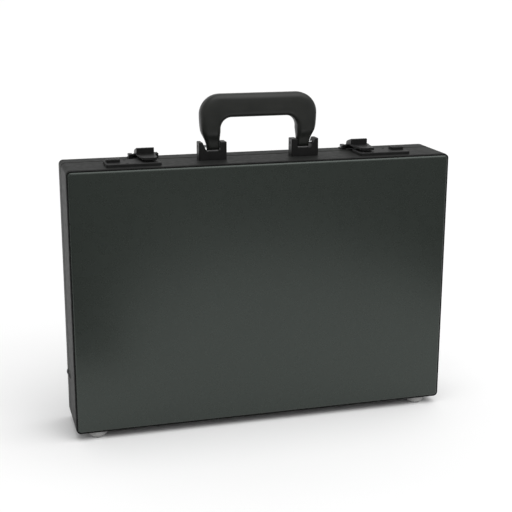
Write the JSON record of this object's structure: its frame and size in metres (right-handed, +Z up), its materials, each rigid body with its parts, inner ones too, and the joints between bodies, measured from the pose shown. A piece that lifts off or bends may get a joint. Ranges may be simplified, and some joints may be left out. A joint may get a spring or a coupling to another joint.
{
  "type": "attache case",
  "caption": "Rigid black attache case with aluminium frame, hinged lid on folding stays, swinging carry handle and two hasp latches with sliding buttons.",
  "frame": {"origin": "on the floor under the middle of the closed case, which stands on its hinge side", "axes": "+Z up towards the handle, +X along the case's width, -Y towards the front panel of the deeper half"},
  "size_m": [0.4606, 0.0816, 0.3961],
  "materials": {
    "frame_satin": "satin charcoal anodised",
    "panel_black": "fine textured black coating, satin",
    "board": "plain hardboard",
    "lining": "brushed cloth",
    "pocket_fabric": "woven cloth with bound edge",
    "foot_grey": "pale grey moulded",
    "handle_grip": "soft satin black moulding",
    "hardware_black": "black enamel",
    "hardware_satin": "satin dark grey enamel",
    "lip_black": "matt black",
    "steel": "zinc plated"
  },
  "bodies": {
    "body": {"body_frame": "frame_satin", "body_panel": "panel_black", "body_seal": "lip_black", "body_board": "board", "body_lining": "lining", "closing_lip": "lip_black", "body_hinge_leaf": "steel", "hinge_pin": "steel", "body_hinge_rivets": "steel", "body_feet": "foot_grey", "body_foot_rivets": "steel", "handle_post_left": "hardware_black", "handle_post_right": "hardware_black", "handle_pin_left": "steel", "handle_pin_right": "steel", "handle_stiffener": "steel", "handle_post_rivets": "steel", "latch_plate_left": "hardware_satin", "latch_plate_right": "hardware_satin", "latch_plate_rivets": "hardware_satin", "latch_spring_left": "steel", "latch_spring_right": "steel", "stay_pivot_body_left": "hardware_black", "stay_pivot_body_right": "hardware_black"},
    "lid": {"lid_frame": "frame_satin", "lid_panel": "panel_black", "lid_seal": "lip_black", "lid_board": "board", "lid_lining": "lining", "document_pocket": "pocket_fabric", "lid_hinge_leaf": "steel", "lid_hinge_rivets": "steel", "lid_feet": "foot_grey", "lid_foot_rivets": "steel", "hasp_bracket_left": "hardware_black", "hasp_bracket_right": "hardware_black", "hasp_bracket_rivets": "hardware_satin", "hasp_pin_left": "steel", "hasp_pin_right": "steel", "stay_pivot_lid_left": "hardware_black", "stay_pivot_lid_right": "hardware_black"},
    "handle": {"handle": "handle_grip"},
    "hasp_left": {"hasp_left": "hardware_black"},
    "button_left": {"latch_button_left": "hardware_black", "latch_bolt_left": "steel"},
    "stay_body_left": {"stay_link_body_left": "steel", "stay_rivet_left": "steel"},
    "stay_lid_left": {"stay_link_lid_left": "steel"},
    "hasp_right": {"hasp_right": "hardware_black"},
    "button_right": {"latch_button_right": "hardware_black", "latch_bolt_right": "steel"},
    "stay_body_right": {"stay_link_body_right": "steel", "stay_rivet_right": "steel"},
    "stay_lid_right": {"stay_link_lid_right": "steel"}
  },
  "joints": [
    {"name": "lid_hinge", "type": "hinge", "parent": "body", "child": "lid", "pos_m": [0, 0.0146, 0.0066], "axis": [-1, 0, 0], "range_deg": [0, 100]},
    {"name": "handle_swing", "type": "hinge", "parent": "body", "child": "handle", "pos_m": [0, -0.0045, 0.3361], "axis": [1, 0, 0], "range_deg": [-85, 85]},
    {"name": "hasp_left_hinge", "type": "hinge", "parent": "lid", "child": "hasp_left", "pos_m": [-0.1315, 0.025, 0.3237], "axis": [-1, 0, 0], "range_deg": [0, 90]},
    {"name": "button_left_slide", "type": "slide", "parent": "body", "child": "button_left", "axis": [-1, 0, 0], "range_m": [0, 0.003], "stiffness_N_per_m": 150, "springref_m": -0.003, "deforming": ["latch_spring_left"]},
    {"name": "stay_body_left_hinge", "type": "hinge", "parent": "body", "child": "stay_body_left", "pos_m": [-0.22125, 0.00954, 0.06438], "axis": [-1, 0, 0], "range_deg": [0, 100]},
    {"name": "stay_lid_left_hinge", "type": "hinge", "parent": "lid", "child": "stay_lid_left", "pos_m": [-0.21945, 0.02765, 0.06311], "axis": [-1, 0, 0], "range_deg": [-100, 0]},
    {"name": "hasp_right_hinge", "type": "hinge", "parent": "lid", "child": "hasp_right", "pos_m": [0.1315, 0.025, 0.3237], "axis": [-1, 0, 0], "range_deg": [0, 90]},
    {"name": "button_right_slide", "type": "slide", "parent": "body", "child": "button_right", "axis": [1, 0, 0], "range_m": [0, 0.003], "stiffness_N_per_m": 150, "springref_m": -0.003, "deforming": ["latch_spring_right"]},
    {"name": "stay_body_right_hinge", "type": "hinge", "parent": "body", "child": "stay_body_right", "pos_m": [0.22125, 0.00954, 0.06438], "axis": [-1, 0, 0], "range_deg": [0, 100]},
    {"name": "stay_lid_right_hinge", "type": "hinge", "parent": "lid", "child": "stay_lid_right", "pos_m": [0.21945, 0.02765, 0.06311], "axis": [-1, 0, 0], "range_deg": [-100, 0]}
  ],
  "couplings": [
    {"joint": "stay_body_left_hinge", "follows": "lid_hinge", "ratio": 1},
    {"joint": "stay_lid_left_hinge", "follows": "lid_hinge", "ratio": -1},
    {"joint": "stay_body_right_hinge", "follows": "lid_hinge", "ratio": 1},
    {"joint": "stay_lid_right_hinge", "follows": "lid_hinge", "ratio": -1}
  ]
}
